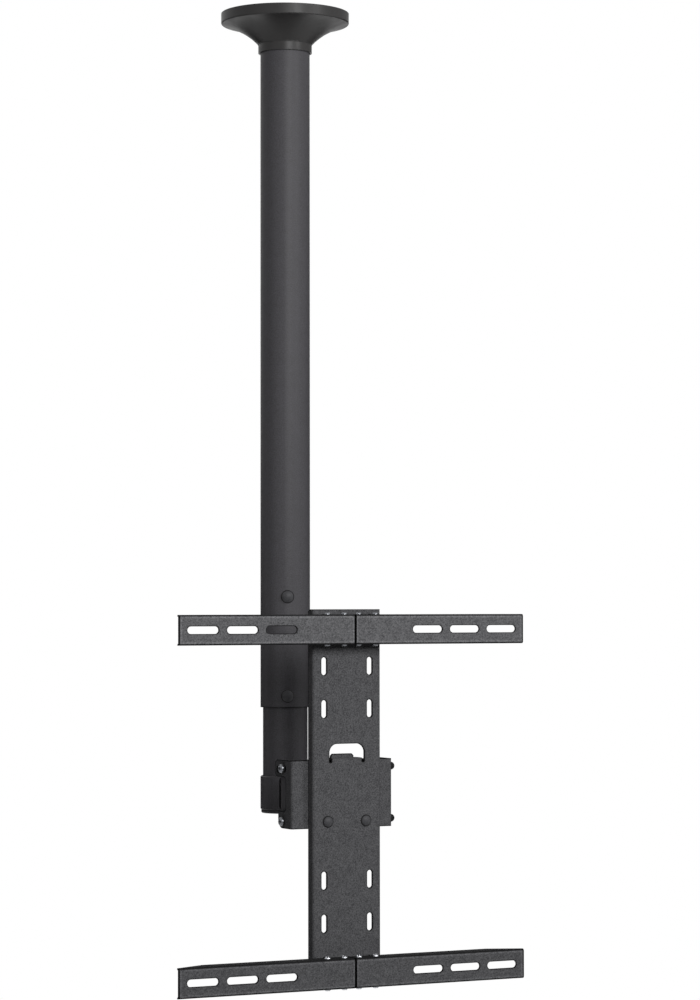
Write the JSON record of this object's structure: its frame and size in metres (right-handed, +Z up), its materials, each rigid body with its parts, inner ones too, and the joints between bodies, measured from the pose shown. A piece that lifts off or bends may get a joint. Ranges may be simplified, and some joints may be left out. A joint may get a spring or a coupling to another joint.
{
  "type": "tv ceiling mount",
  "caption": "Ceiling mount for a flat television: flared ceiling cover, telescopic round pole, swivelling and tilting head with an upright plate and two slotted arms.",
  "frame": {"origin": "on the ceiling plane, on the axis of the pole", "axes": "+Z up along the pole, -Y towards the screen, +X to the right for someone who looks along +Y at the head"},
  "size_m": [0.453, 0.2635, 1.1726],
  "materials": {
    "bracket_coat": "textured powder coat",
    "tube_coat": "fine powder coat",
    "bolt_coat": "satin black oxide",
    "cover_plastic": "satin",
    "zinc": "zinc plated",
    "nylon": "matte"
  },
  "bodies": {
    "ceiling": {"ceiling_plate": "tube_coat", "outer_tube": "tube_coat", "tube_bolt_lower": "bolt_coat", "tube_bolt_upper": "bolt_coat", "tube_nut_lower": "zinc", "tube_nut_upper": "zinc", "tube_washer_lower": "zinc", "tube_washer_upper": "zinc", "tube_weld": "tube_coat"},
    "cover": {"canopy": "cover_plastic"},
    "drop": {"cap_screw": "zinc", "inner_tube": "tube_coat", "retaining_cap": "tube_coat", "tube_plug": "tube_coat"},
    "swivel": {"inner_bracket": "tube_coat", "lock_bolt": "zinc", "lock_cap_nut": "bolt_coat", "lock_spacer_left": "nylon", "lock_spacer_right": "nylon", "lock_washer_left": "bolt_coat", "lock_washer_right": "bolt_coat", "neck": "tube_coat", "pivot_bolt": "zinc", "pivot_cap_nut": "bolt_coat", "pivot_spacer_left": "nylon", "pivot_spacer_right": "nylon", "pivot_washer_left": "bolt_coat", "pivot_washer_right": "bolt_coat", "swivel_collar": "tube_coat", "swivel_screw": "zinc"},
    "head": {"plate_bolt_left": "bolt_coat", "plate_bolt_right": "bolt_coat", "plate_nut_left": "zinc", "plate_nut_right": "zinc", "plate_sleeve_left": "bolt_coat", "plate_sleeve_right": "bolt_coat", "tilt_bracket": "bracket_coat", "upright_plate": "bracket_coat"},
    "upper_arm": {"upper_arm_left": "bracket_coat", "upper_arm_right": "bracket_coat", "upper_arm_screws": "zinc", "upper_holder": "bracket_coat", "upper_holder_bolt_left": "bolt_coat", "upper_holder_bolt_right": "bolt_coat", "upper_holder_nuts": "zinc"},
    "lower_arm": {"lower_arm_left": "bracket_coat", "lower_arm_right": "bracket_coat", "lower_arm_screws": "zinc", "lower_holder": "bracket_coat", "lower_holder_bolt_left": "bolt_coat", "lower_holder_bolt_right": "bolt_coat", "lower_holder_nuts": "zinc"}
  },
  "joints": [
    {"name": "cover_slide", "type": "slide", "parent": "ceiling", "child": "cover", "axis": [0, 0, -1], "range_m": [0, 0.6]},
    {"name": "pole_drop", "type": "slide", "parent": "ceiling", "child": "drop", "axis": [0, 0, -1], "range_m": [0, 0.48]},
    {"name": "head_swivel", "type": "hinge", "parent": "drop", "child": "swivel", "pos_m": [0, 0, -0.9515], "axis": [0, 0, 1], "continuous": true},
    {"name": "head_tilt", "type": "hinge", "parent": "swivel", "child": "head", "pos_m": [0, -0.128, -0.9775], "axis": [1, 0, 0], "range_deg": [-4, 12]},
    {"name": "upper_arm_level", "type": "slide", "parent": "head", "child": "upper_arm", "axis": [0, 0, 1], "range_m": [0, 0.014]},
    {"name": "lower_arm_level", "type": "slide", "parent": "head", "child": "lower_arm", "axis": [0, 0, 1], "range_m": [0, 0.014]}
  ]
}
